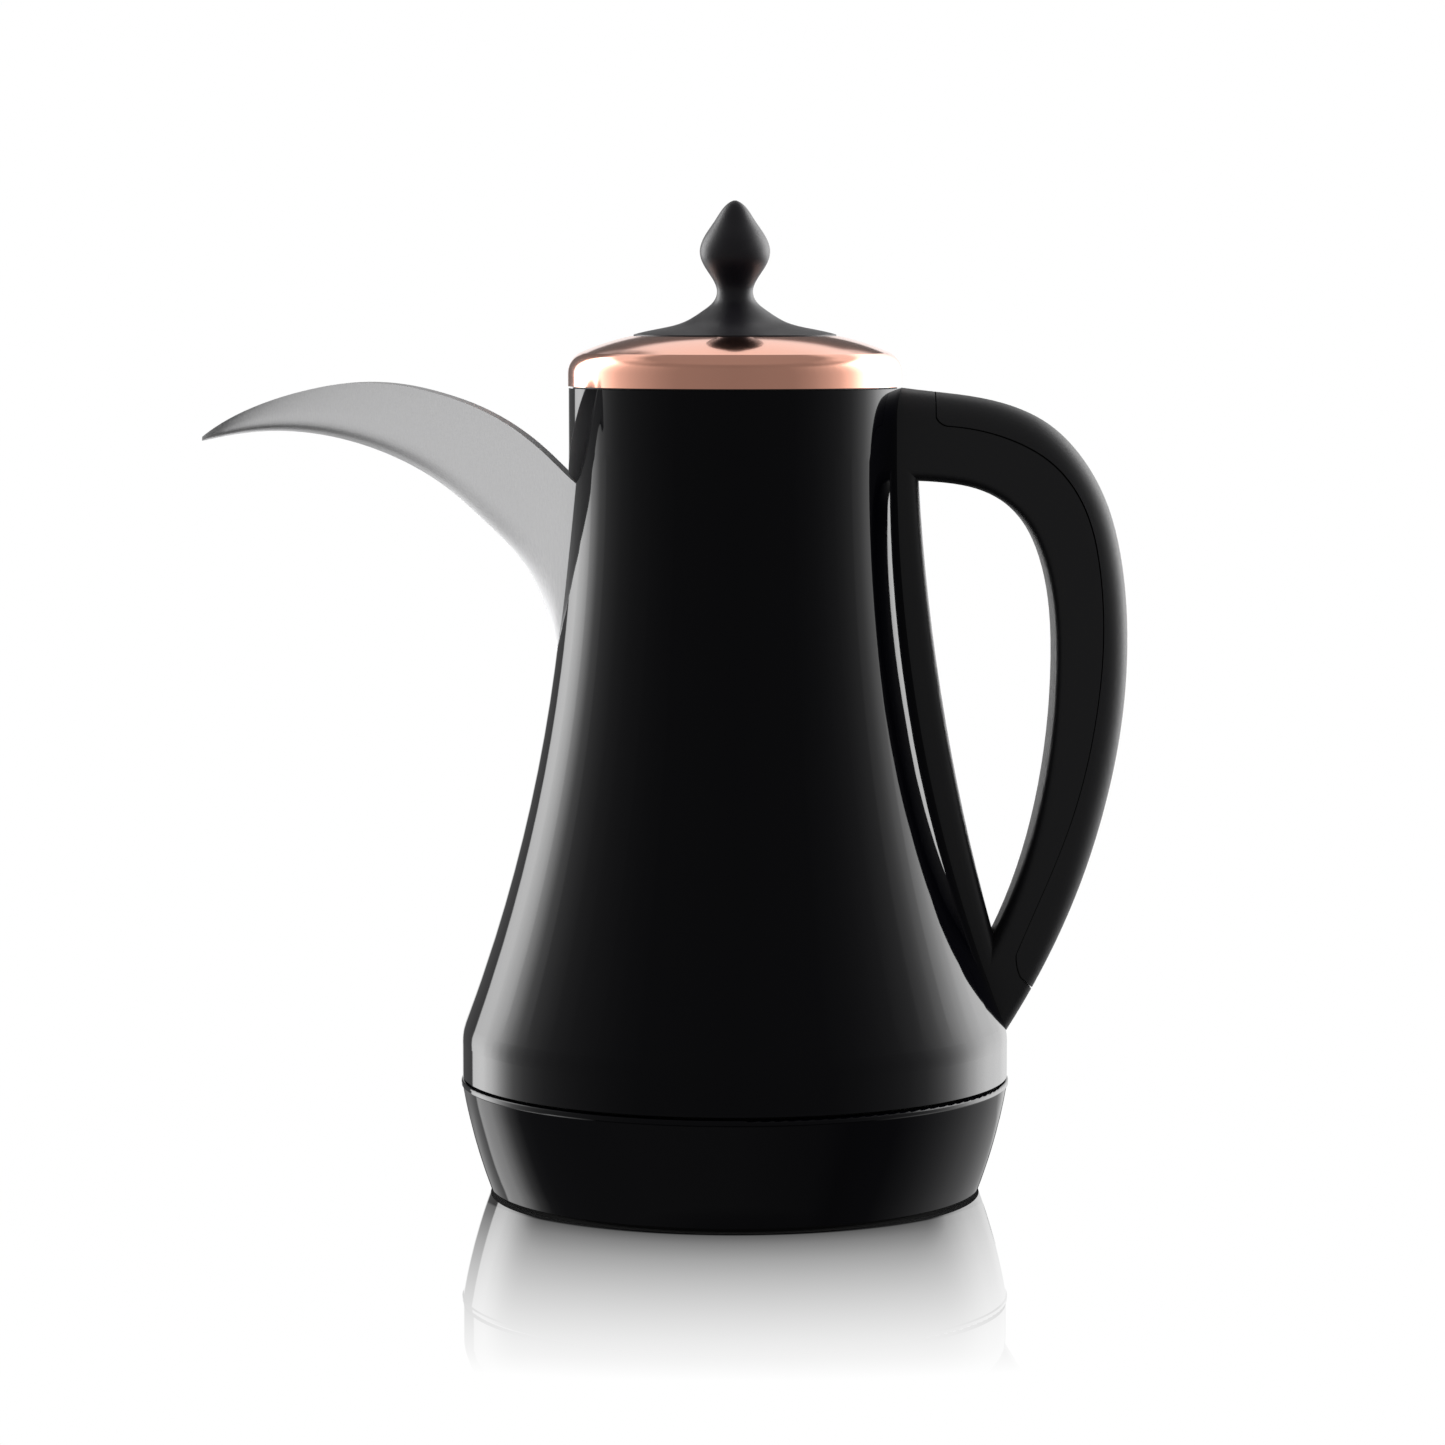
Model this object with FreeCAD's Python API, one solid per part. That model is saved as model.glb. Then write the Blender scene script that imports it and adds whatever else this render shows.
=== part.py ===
"""Cordless electric dallah: a tall coffee jug that stands in a round power base.

Millimetres, +Z up. The origin is on the jug's axis at the plane that the base stands on.
The spout points to -X, the handle to +X, and the cord leaves the base at +Y.
"""
import FreeCAD, Part
import math
import os

V = FreeCAD.Vector
UP = V(0, 0, 1)
ORIGIN = V(0, 0, 0)

# ---------------------------------------------------------------- power base
foot_proud = 1.0          # how far the rubber ring lifts the base off the table
foot_inset = 9.05         # from the base's bottom edge in to the middle of the rubber ring
foot_ring_width = 5.0
foot_groove_depth = 1.2
base_height = 30.1        # housing, from its bottom edge to its lip
base_taper = 8.0          # the housing's foot is this much smaller in radius than its lip
base_bulge = 0.7          # how far the wall swells out past a straight cone
base_wall = 2.6
lip_proud = 0.35          # bead round the top edge
lip_height = 1.7
cup_depth = 11.1          # from the lip down to the deck that the jug stands on
cup_draft = 2.4           # the cup narrows by this much from lip to deck
deck_wall = 2.4
plate_wall = 2.4
plate_clearance = 0.25
fit_clearance = 0.05      # round pieces pressed or glued into their seats
base_screw_inset = 8.5    # from the middle of the foot ring in to the screws
base_boss_r = 4.0
bore_cutter_length = 20.0  # long enough to pass through the base's side wall

# ---------------------------------------------------------------- round connector
tower_r = 17.0
tower_height = 15.0       # above the deck
tower_flange_r = 26.0
tower_flange_wall = 2.2
tower_tail_r = 14.0       # block with the wiring tabs, under the flange
tower_tail_length = 8.0
slot_inner_r = 10.5       # annular slot in the tower
slot_outer_r = 14.2
slot_depth = 13.0
centre_bore_r = 4.2
pin_r = 1.5
pin_below_top = 3.0       # the live pin ends safely below the tower's top
pin_sunk = 2.0            # how far the pin is moulded into the tower's floor
contact_clearance = 0.02  # round the metal contacts in the plastic
ring_contact_wall = 0.5
ring_contact_height = 7.0
plug_clearance = 0.6      # between the tower and the jug's socket

# ---------------------------------------------------------------- base controls
button_r = 5.5
button_clearance = 0.3
button_flange_r = 6.6
button_flange_wall = 1.4
stem_r = 2.0
switch_depth = 9.0        # size of the switch along the stem
switch_half_width = 7.0
switch_height = 10.5
switch_gap = 4.5          # from the button's flange to the switch
stem_grip = 3.0           # how far the stem reaches into the switch
stem_bore_depth = 6.0
board_wall = 1.6
board_half_width = 20.0
board_depth = 18.0
board_post = 1.6          # height of the posts that carry the board
board_post_r = 1.8
board_post_inset = 3.0
board_lap = 2.0           # how far the board runs out under the switch's front
lens_r = 2.0
lens_flange_r = 3.0
lens_flange_wall = 1.2
lens_angle = 13.0         # degrees round the base from the button
gland_bore_r = 3.3
gland_r = 5.2
gland_flange_r = 6.6
gland_length = 9.0
terminal_size = (22.0, 9.0, 9.0)
terminal_gap = 16.7       # from the gland's inner end to the terminal block
terminal_hole_r = 2.2

# ---------------------------------------------------------------- jug body
seam_gap = 0.8            # dark line between the base's lip and the jug
rest_gap = 0.3            # between the deck and the jug's underside
shell_height = 189.0
band_height = 12.1        # upright band at the bottom of the shell
neck_height = 16.9        # upright neck at its top
band_r = 75.2
neck_r = 45.5
band_round = 14.0         # rounding between the band and the sloping wall
shell_wall = 1.4
vessel_inset = 4.1        # from the shell's outer face in to the vessel's
vessel_wall = 0.9
vessel_floor_gap = 21.1   # from the shell's bottom edge up to the vessel's floor
vessel_corner = 9.0
rim_flange_wall = 0.8
rim_recess = 0.2          # the steel rim lies this far below the shell's edge
collar_height = 9.0
collar_clearance = 0.1

# ---------------------------------------------------------------- heater and jug underside
heater_wall = 3.0
heater_lug_r = 4.0
heater_lug_length = 6.0
heater_pad_r = 12.0
element_ring_r = 33.0
element_tube_r = 3.1
element_tail_r = 1.9
element_gap_angle = 36.0  # opening of the element's ring, in degrees
socket_flange_r = 38.0
socket_wall = 4.0
socket_roof = 2.4
socket_inset = 0.5        # the socket's mouth lies this far inside the cover's underside
tongue_play = 0.4         # round and under the socket's tongues in the tower's slots
cover_wall = 2.2
cover_bend = 2.5          # rounding round the dish's foot
cover_web = 1.2           # thicker corner where the skirt meets the flange
skirt_clearance = 0.8     # between the jug's skirt and the cup
cover_flange_height = 8.0
cover_screw_inset = 5.0   # from the heater plate's edge in to the screws
cover_boss_r = 4.3
seal_depth = 1.2
seal_height = 2.0

# ---------------------------------------------------------------- spout
sheet = 1.2
spout_clearance = 0.3     # round the spout where it passes through the shell
port_margin = 2.2         # rim of vessel wall left round the spout's port
strainer_lap = 1.4
strainer_wall = 0.6
strainer_head = 8.0       # the sheet's top edge, above the foot of the neck
strainer_margin = 4.8     # from the sheet's top edge to the first row of holes
strainer_taper = 0.75     # how much narrower the lowest row is than the first
strainer_hole_r = 1.3
strainer_pitch = 5.2
mouth_rise = 12.0         # the beak's inside is cut this far up through its open top
lip_overrun = 0.12        # and on past its lip, as a share of the last station's step
# Stations from inside the vessel out to the lip: reach past the neck and drop below the rim
# of the top edge, the same two of the keel, and half the width across the top.
spout_stations = [
    (-15.5, 31.9, -4.5, 82.9, 15.5),
    (-2.5, 25.7, 3.1, 73.9, 14.7),
    (6.5, 17.2, 8.1, 55.4, 13.9),
    (19.0, 8.1, 18.0, 41.3, 12.6),
    (33.5, 2.0, 31.0, 29.2, 11.0),
    (51.5, -1.4, 50.7, 17.6, 9.0),
    (68.5, 0.0, 70.4, 12.4, 7.0),
    (88.5, 6.4, 90.1, 12.6, 5.0),
    (99.9, 13.3, 100.2, 14.5, 3.4),
]
# Half a section of the spout: share of the half width, share of the depth.
spout_section = [(1.0, 0.0), (0.80, 0.27), (0.62, 0.55), (0.44, 0.82)]

# ---------------------------------------------------------------- handle
handle_half_width = 12.0
handle_tip_half_width = 5.5
handle_foot_gap = 13.0    # from the shell's bottom edge up to the handle's tip
handle_taper_share = 0.57  # of the way down, where the handle starts to narrow
handle_margin = 9.0       # cutters reach this far past the handle
handle_tip_sink = 8.0     # the outer curve runs on this far into the body
handle_round = 8.5        # rounding of the outer edges at the top
handle_tip_round = 4.0
handle_hole_round = 3.5
# Strip of the handle that lies on the body: how far it stands out at the finger gap's
# top, middle and bottom.
spine_proud = (4.4, 5.9, 5.3)
# Outlines of the loop: reach out from the body's wall, share of the way from rim to tip.
handle_outer = [
    (12.0, 0.008), (28.5, 0.025), (39.4, 0.053), (50.4, 0.117), (55.8, 0.177), (59.2, 0.268),
    (58.9, 0.393), (54.4, 0.518), (45.9, 0.644), (33.6, 0.770), (17.2, 0.896), (0.5, 1.0),
]
handle_inner = [
    (12.0, 0.146), (22.9, 0.161), (32.8, 0.206), (37.5, 0.268), (38.0, 0.424),
    (29.4, 0.613), (18.9, 0.738),
]
handle_hole_ends = (0.143, 0.850)
grip_seam = [
    (12.6, 0.059), (29.7, 0.081), (41.5, 0.122), (49.4, 0.190), (52.4, 0.277), (51.6, 0.393),
    (47.5, 0.498), (34.0, 0.678), (17.2, 0.822), (9.5, 0.882),
]
grip_start_reach = 8.9    # where the seam leaves the handle's top edge
grip_corner = 2.4
grip_end_run = 5.5        # how far the seam's lower end runs out past its corner
grip_gap = 0.3            # groove between the grip and the frame
tongue_inset = 3.4        # skin of grip over the frame's tongue
tongue_half_width = 6.0
tongue_clearance = 0.1
handle_screws_at = (0.10, 0.918)
handle_screw_length = 7.5

# ---------------------------------------------------------------- screws
screw_r = 1.5
screw_pilot = 0.1         # the thread is cut into plastic or cast bosses
screw_clearance = 0.3
screw_head_r = 2.9
screw_head_height = 1.6
screw_tip_gap = 3.0       # from a base screw's tip up to the deck's upper face
screw_seat_gap = 0.05     # under a head that sits on the shell's curved inner face

# ---------------------------------------------------------------- lid
lid_gap = 0.5             # between the shell's edge and the lid's
lid_proud = 0.2
lid_sheet = 1.2
lid_band = 3.4            # upright part of the lid's side
lid_shoulder_run = 3.2
lid_shoulder_rise = 5.6
lid_cone_rise = 4.6
lid_cone_swell = 0.4      # how far the cone bulges above a straight one
lid_seat_r = 28.6         # flat seat under the finial's skirt
liner_flange_wall = 1.4
liner_wall = 2.0
liner_clearance = 0.2     # between the liner's flange and the cover's side
liner_screw_seat = 1.0    # plastic left under the finial screw's head
gasket_share = 0.35       # how far up the plug the gasket's groove starts
plug_gap = 0.7            # between the plug and the vessel's neck
plug_depth = 14.0
gasket_height = 3.0
gasket_depth = 0.9
gasket_clearance = 0.3
liner_post_r = 5.0
liner_rest = 0.3          # between the vessel's rim and the lid's flange

# ---------------------------------------------------------------- finial
skirt_r = 27.7
skirt_edge = 0.4
finial_height = 36.8
finial_bulb_r = 9.6
finial_bulb_height = 23.2
finial_tip_r = 0.4
finial_neck_r = 4.95
finial_neck_height = 11.6
finial_screw_length = 38.0

# ---------------------------------------------------------------- heights and radii that follow
base_bottom_z = foot_proud
base_top_z = base_bottom_z + base_height
deck_z = base_top_z - cup_depth
control_z = (base_bottom_z + plate_wall + deck_z - deck_wall) / 2
shell_bottom_z = base_top_z + seam_gap
shell_top_z = shell_bottom_z + shell_height
band_top_z = shell_bottom_z + band_height
neck_start_z = shell_top_z - neck_height
cover_bottom_z = deck_z + rest_gap
tower_top_z = deck_z + tower_height
vessel_floor_z = shell_bottom_z + vessel_floor_gap
heater_bottom_z = vessel_floor_z - heater_wall
lug_bottom_z = heater_bottom_z - heater_lug_length
socket_top_z = heater_bottom_z - 2 * element_tube_r - element_tail_r / 4
lid_edge_z = shell_top_z + lid_gap
lid_r = neck_r + lid_proud
lid_crease_z = lid_edge_z + lid_band + lid_shoulder_rise
lid_seat_z = lid_crease_z + lid_cone_rise

base_top_r = band_r + lip_proud
base_bottom_r = base_top_r - base_taper
foot_ring_r = base_bottom_r - foot_inset
base_screw_ring_r = foot_ring_r - base_screw_inset
handle_length = shell_height - handle_foot_gap
cup_top_r = base_top_r - base_wall
cup_floor_r = cup_top_r - cup_draft

# The jug's wall is one hollow arc, upright where it meets the neck.
wall_rise = neck_start_z - band_top_z
wall_run = band_r - neck_r
wall_arc_r = (wall_rise**2 + wall_run**2) / (2 * wall_run)
wall_centre_r = neck_r + wall_arc_r


# ---------------------------------------------------------------- drawing helpers
def rz(r, z):
    return V(r, 0, z)


def section(start, *steps):
    """Closed outline in the XZ plane. A step is an end point, or a point passed and an end point."""
    edges = []
    here = start
    for step in steps + (start,):
        if isinstance(step[0], tuple):
            edges.append(Part.Arc(rz(*here), rz(*step[0]), rz(*step[1])).toShape())
            here = step[1]
        elif math.dist(here, step) > 1e-6:
            edges.append(Part.LineSegment(rz(*here), rz(*step)).toShape())
            here = step
    return Part.Face(Part.Wire(edges))


def turned(start, *steps):
    """Solid of revolution about the jug's axis."""
    return section(start, *steps).revolve(ORIGIN, UP, 360)


def tube(inner_r, outer_r, low_z, high_z):
    ring = Part.makeCylinder(outer_r, high_z - low_z, V(0, 0, low_z))
    if inner_r > 0:
        ring = ring.cut(Part.makeCylinder(inner_r, high_z - low_z, V(0, 0, low_z)))
    return ring


def disc(r, low_z, high_z, x=0.0, y=0.0):
    return Part.makeCylinder(r, high_z - low_z, V(x, y, low_z))


def around(count, ring_r, first_angle):
    """Points spaced evenly round the axis."""
    for index in range(count):
        angle = math.radians(first_angle + index * 360 / count)
        yield ring_r * math.cos(angle), ring_r * math.sin(angle)


def radial(r, length, start_r, z, angle):
    """Cylinder that points outwards from the axis."""
    turn = math.radians(angle)
    out = V(math.cos(turn), math.sin(turn), 0)
    return Part.makeCylinder(r, length, out * start_r + V(0, 0, z), out)


def spline(points):
    curve = Part.BSplineCurve()
    curve.interpolate(points)
    return curve.toShape()


# ---------------------------------------------------------------- curves of the jug's wall
def wall_r(z, inset=0.0):
    """Radius of the jug's outer wall at a height, or of the surface that lies inset inside it."""
    if z >= neck_start_z:
        return neck_r - inset
    arc = wall_arc_r + inset
    drop = neck_start_z - z
    return min(band_r - inset, wall_centre_r - math.sqrt(arc * arc - drop * drop))


def on_wall_arc(inset, centre_r, centre_z, reach):
    """Point of the inset arc in line with the centre of a rounding that touches it."""
    share = (wall_arc_r + inset) / reach
    r = wall_centre_r + (centre_r - wall_centre_r) * share
    z = neck_start_z + (centre_z - neck_start_z) * share
    return r, z


def arc_middle(centre, radius, first, last):
    """Middle point of the arc between two points of a circle."""
    r = (first[0] + last[0]) / 2 - centre[0]
    z = (first[1] + last[1]) / 2 - centre[1]
    scale = radius / math.hypot(r, z)
    return centre[0] + r * scale, centre[1] + z * scale


def wall_steps(inset, low, high_z):
    """Outline steps up the inset arc from a point on it, and on up the neck."""
    neck = (neck_r - inset, neck_start_z)
    middle = arc_middle((wall_centre_r, neck_start_z), wall_arc_r + inset, low, neck)
    return [(middle, neck), (neck[0], high_z)]


def banded_body(inset, low_z, high_z):
    """Solid inside the shell's surface or a surface inset from it, band and rounding included."""
    side = band_r - inset
    rounding = band_round - inset
    reach = wall_arc_r + inset + rounding
    centre_r = side - rounding
    centre_z = neck_start_z - math.sqrt(reach**2 - (wall_centre_r - centre_r) ** 2)
    low = on_wall_arc(inset, centre_r, centre_z, reach)
    bend = arc_middle((centre_r, centre_z), rounding, (side, centre_z), low)
    return turned(
        (0, low_z), (side, low_z), (side, centre_z), (bend, low),
        *wall_steps(inset, low, high_z), (0, high_z),
    )


def vessel_body(inset, floor_z, high_z, corner):
    """Solid inside the vessel's outer or inner surface."""
    reach = wall_arc_r + inset + corner
    centre_z = floor_z + corner
    centre_r = wall_centre_r - math.sqrt(reach**2 - (neck_start_z - centre_z) ** 2)
    low = on_wall_arc(inset, centre_r, centre_z, reach)
    bend = arc_middle((centre_r, centre_z), corner, (centre_r, floor_z), low)
    return turned(
        (0, floor_z), (centre_r, floor_z), (bend, low),
        *wall_steps(inset, low, high_z), (0, high_z),
    )


def vessel_outside(high_z):
    return vessel_body(vessel_inset, vessel_floor_z, high_z, vessel_corner)


def vessel_inside(high_z, inset=0.0):
    depth = vessel_wall + inset
    return vessel_body(vessel_inset + depth, vessel_floor_z + depth, high_z, vessel_corner - depth)


def base_wall_r(z, inset=0.0):
    """Radius of the base's swelling side wall at a height."""
    height = base_top_z - lip_height - base_bottom_z
    share = (z - base_bottom_z) / height
    swell = base_bulge * 4 * share * (1 - share)
    return base_bottom_r + (band_r - base_bottom_r) * share + swell - inset


# ---------------------------------------------------------------- power base
def base_side(low_z, high_z, inset):
    """Arc up the base's side wall, as a point passed and an end point."""
    middle_z = (low_z + high_z) / 2
    return (base_wall_r(middle_z, inset), middle_z), (base_wall_r(high_z, inset), high_z)


def base_housing():
    lip_z = base_top_z - lip_height
    under_z = deck_z - deck_wall
    edge = lip_height / 3
    inner_edge = edge * 0.3
    body = turned(
        (tower_r + plate_clearance, deck_z),
        (tower_r + plate_clearance, under_z),
        (base_wall_r(under_z, base_wall), under_z),
        base_side(under_z, base_bottom_z, base_wall),
        (base_wall_r(base_bottom_z), base_bottom_z),
        base_side(base_bottom_z, lip_z, 0),
        (base_top_r, lip_z + lip_proud),
        (base_top_r, base_top_z - edge),
        ((base_top_r - inner_edge, base_top_z - inner_edge), (base_top_r - edge, base_top_z)),
        (cup_top_r, base_top_z),
        (cup_floor_r, deck_z),
    )
    plate_top_z = base_bottom_z + plate_wall
    for x, y in around(3, base_screw_ring_r, 60):
        body = body.fuse(disc(base_boss_r, plate_top_z, under_z, x, y))
        body = body.cut(disc(screw_r + screw_pilot, plate_top_z, deck_z - 1, x, y))
    bore = (bore_cutter_length, base_bottom_r - bore_cutter_length / 2)
    body = body.cut(radial(button_r + button_clearance, *bore, control_z, 0))
    body = body.cut(radial(lens_r + fit_clearance * 2, *bore, control_z, lens_angle))
    body = body.cut(radial(gland_r + fit_clearance, *bore, control_z, 90))
    return body


def base_bottom_plate():
    top_z = base_bottom_z + plate_wall
    plate = turned(
        (0, base_bottom_z),
        (base_wall_r(base_bottom_z, base_wall + plate_clearance), base_bottom_z),
        (base_wall_r(top_z, base_wall + plate_clearance), top_z),
        (0, top_z),
    )
    half = foot_ring_width / 2
    plate = plate.cut(tube(foot_ring_r - half, foot_ring_r + half, 0, base_bottom_z + foot_groove_depth))
    for x, y in around(3, base_screw_ring_r, 60):
        plate = plate.cut(disc(screw_r + screw_clearance, 0, top_z, x, y))
        plate = plate.cut(disc(screw_head_r + screw_clearance, 0, base_bottom_z + screw_head_height, x, y))
    near_x = board_near_x() + board_post_inset
    for x in (near_x, near_x + board_depth - 2 * board_post_inset):
        for y in (board_post_inset - board_half_width, board_half_width - board_post_inset):
            plate = plate.fuse(disc(board_post_r, top_z, top_z + board_post, x, y))
    return plate


def foot_ring():
    half = foot_ring_width / 2
    top_z = base_bottom_z + foot_groove_depth
    return tube(foot_ring_r - half + fit_clearance, foot_ring_r + half - fit_clearance, 0, top_z)


def base_screws():
    low_z = base_bottom_z + screw_head_height
    solids = []
    for x, y in around(3, base_screw_ring_r, 60):
        head = disc(screw_head_r, low_z - screw_head_height, low_z, x, y)
        solids.append(head.fuse(disc(screw_r, low_z, deck_z - screw_tip_gap, x, y)))
    return Part.makeCompound(solids)


def connector_housing():
    under_z = deck_z - deck_wall
    flange_z = under_z - tower_flange_wall
    slot_z = tower_top_z - slot_depth
    return turned(
        (0, flange_z - tower_tail_length),
        (tower_tail_r, flange_z - tower_tail_length),
        (tower_tail_r, flange_z),
        (tower_flange_r, flange_z),
        (tower_flange_r, under_z),
        (tower_r, under_z),
        (tower_r, tower_top_z),
        (slot_outer_r, tower_top_z),
        (slot_outer_r, slot_z),
        (slot_inner_r, slot_z),
        (slot_inner_r, tower_top_z),
        (centre_bore_r, tower_top_z),
        (centre_bore_r, slot_z),
        (pin_r, slot_z),
        (pin_r, slot_z - pin_sunk),
        (0, slot_z - pin_sunk),
    )


def live_pin():
    low_z = tower_top_z - slot_depth - pin_sunk
    high_z = tower_top_z - pin_below_top
    r = pin_r - contact_clearance
    return turned(
        (0, low_z), (r, low_z), (r, high_z - pin_r),
        (pin_r * 0.5, high_z), (0, high_z),
    )


def ring_contact():
    low_z = tower_top_z - slot_depth
    inner = slot_inner_r + contact_clearance
    return tube(inner, slot_inner_r + ring_contact_wall, low_z, low_z + ring_contact_height)


def button_flange_front():
    """The flange waits just behind the wall, whose inner face is nearest at the flange's edge."""
    lowest_wall = base_wall_r(control_z - button_flange_r, base_wall)
    return math.sqrt(lowest_wall**2 - button_flange_r**2) - button_clearance


def switch_front_x():
    return button_flange_front() - button_flange_wall - switch_gap


def board_near_x():
    return switch_front_x() - board_depth + board_lap


def board_top_z():
    return base_bottom_z + plate_wall + board_post + board_wall


def power_button():
    """Round cap with a flange behind the wall and a stem into the switch, its face flush."""
    front = button_flange_front()
    cap = radial(button_r, base_top_r - front, front, control_z, 0)
    flange = radial(button_flange_r, button_flange_wall, front - button_flange_wall, control_z, 0)
    reach = switch_gap + button_flange_wall + stem_grip
    stem = radial(stem_r, reach, front - reach, control_z, 0)
    outside = turned(
        (0, base_bottom_z),
        (base_wall_r(base_bottom_z), base_bottom_z),
        base_side(base_bottom_z, base_top_z - lip_height, 0),
        (0, base_top_z - lip_height),
    )
    return cap.common(outside).fuse([flange, stem]).removeSplitter()


def power_switch():
    front = switch_front_x()
    low_z = board_top_z()
    box = Part.makeBox(
        switch_depth, 2 * switch_half_width, control_z + switch_height / 2 - low_z,
        V(front - switch_depth, -switch_half_width, low_z),
    )
    return box.cut(radial(stem_r + button_clearance, stem_bore_depth, front - stem_bore_depth, control_z, 0))


def control_board():
    low_z = board_top_z() - board_wall
    return Part.makeBox(
        board_depth, 2 * board_half_width, board_wall,
        V(board_near_x(), -board_half_width, low_z),
    )


def indicator_lens():
    """Light pipe beside the button, with a small flange on the wall's inner face."""
    lowest_wall = base_wall_r(control_z - lens_flange_r, base_wall)
    inner = math.sqrt(lowest_wall**2 - lens_flange_r**2) - 2 * fit_clearance
    pipe = radial(lens_r, base_wall_r(control_z) - inner, inner, control_z, lens_angle)
    start = inner - lens_flange_wall
    return pipe.fuse(radial(lens_flange_r, lens_flange_wall, start, control_z, lens_angle))


def cord_gland():
    """Empty bushing at the back, where the cord goes in."""
    outer = base_wall_r(control_z)
    start = outer - gland_length
    body = radial(gland_r, gland_length, start, control_z, 90)
    inner_face = base_wall_r(control_z - gland_flange_r, base_wall)
    flange_front = math.sqrt(inner_face**2 - gland_flange_r**2) - 2 * fit_clearance
    flange = radial(gland_flange_r, flange_front - start, start, control_z, 90)
    bore = radial(gland_bore_r, 2 * gland_length, start - gland_length / 2, control_z, 90)
    return body.fuse(flange).cut(bore)


def terminal_block():
    x, y, z = terminal_size
    low_z = base_bottom_z + plate_wall
    near_y = base_wall_r(control_z) - gland_length - terminal_gap - y
    block = Part.makeBox(x, y, z, V(-x / 2, near_y, low_z))
    for index in range(3):
        centre = -x / 3 + index * x / 3
        block = block.cut(disc(terminal_hole_r, low_z + z / 2, low_z + z, centre, near_y + y / 2))
    return block


# ---------------------------------------------------------------- jug
def body_shell():
    outside = banded_body(0, shell_bottom_z, shell_top_z)
    inside = banded_body(shell_wall, shell_bottom_z - 1, shell_top_z + 1)
    shell = outside.cut(inside)
    shell = shell.cut(spout_body(spout_clearance, spout_clearance))
    for share in handle_screws_at:
        hole = wall_cylinder(share, screw_r + screw_clearance, -2 * vessel_inset, 2 * vessel_inset)
        shell = shell.cut(hole)
    return shell


def inner_vessel():
    """Deep-drawn steel cup whose rim turns out over the collar."""
    rim_z = shell_top_z - rim_recess
    vessel = vessel_outside(rim_z)
    flange = disc(neck_r - shell_wall - collar_clearance, rim_z - rim_flange_wall, rim_z)
    vessel = vessel.fuse(flange).cut(vessel_inside(rim_z + 1))
    return vessel.cut(spout_body(-port_margin, -port_margin))


def rim_collar():
    top_z = shell_top_z - rim_recess - rim_flange_wall
    outer = neck_r - shell_wall - collar_clearance
    return tube(neck_r - vessel_inset + collar_clearance, outer, top_z - collar_height, top_z)


def spout_wire(station, grow, rise):
    """One closed section of the spout, grown outwards and raised at its open top."""
    reach_top, drop_top, reach_keel, drop_keel, half = station
    top = V(-neck_r - reach_top, 0, shell_top_z - drop_top)
    keel = V(-neck_r - reach_keel, 0, shell_top_z - drop_keel)
    down = (keel - top).normalize()
    depth = (keel - top).Length
    depth += max(grow, -depth / 2)
    width = half + grow
    side = [top + V(0, width * a, 0) + down * (depth * d) for a, d in spout_section]
    bottom = top + down * depth
    other = [V(p.x, -p.y, p.z) for p in reversed(side)]
    lift = down * -rise
    corners = [side[0] + lift, other[-1] + lift]
    edges = [spline(side + [bottom] + other)]
    if abs(rise) > 1e-6:
        edges.append(Part.LineSegment(other[-1], corners[1]).toShape())
    edges.append(Part.LineSegment(corners[1], corners[0]).toShape())
    if abs(rise) > 1e-6:
        edges.append(Part.LineSegment(corners[0], side[0]).toShape())
    return Part.Wire(edges)


def spout_body(grow, rise):
    """Loft through the stations. A negative rise keeps the top below the spout's edges."""
    stations = list(spout_stations)
    last = stations[-1]
    before = stations[-2]
    if grow < 0:
        beyond = [end + (end - start) * lip_overrun for start, end in zip(before[:4], last[:4])]
        stations.append((*beyond, last[4]))
    if rise < 0:
        shorter = []
        for top_reach, top_drop, keel_reach, keel_drop, half in stations[:4]:
            shorter.append((top_reach, top_drop - rise, keel_reach, keel_drop, half + rise))
        stations = shorter
        rise = 0
    wires = [spout_wire(station, grow, rise) for station in stations]
    return Part.makeLoft(wires, True)


def spout():
    """Open beak of bent sheet, welded to the vessel round its port."""
    channel = spout_body(0, 0).cut(spout_body(-sheet, mouth_rise))
    return channel.cut(vessel_outside(shell_top_z + mouth_rise))


def spout_strainer():
    """Punched sheet behind the spout's port, on the vessel's inner face."""
    high_z = neck_start_z + strainer_head
    outer = vessel_inside(high_z, fit_clearance)
    inner = vessel_inside(high_z + strainer_wall, fit_clearance + strainer_wall)
    patch = spout_body(strainer_lap - port_margin, strainer_lap - port_margin)
    plate = outer.cut(inner).common(patch)
    top_z = shell_top_z - spout_stations[1][1]
    low_z = shell_top_z - spout_stations[1][3]
    depth = top_z - low_z
    rows = int((depth - 2 * strainer_margin) / strainer_pitch) + 1
    holes = []
    for row in range(rows):
        z = top_z - strainer_margin - row * strainer_pitch
        share = (top_z - z) / depth
        half = spout_stations[1][4] * (1 - share * strainer_taper) - strainer_margin
        count = 2 * int(half / strainer_pitch) + 1
        for index in range(count):
            y = (index - (count - 1) / 2) * strainer_pitch
            holes.append(Part.makeCylinder(strainer_hole_r, neck_r, V(-neck_r / 2, y, z), V(-1, 0, 0)))
    return plate.cut(holes)


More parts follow.
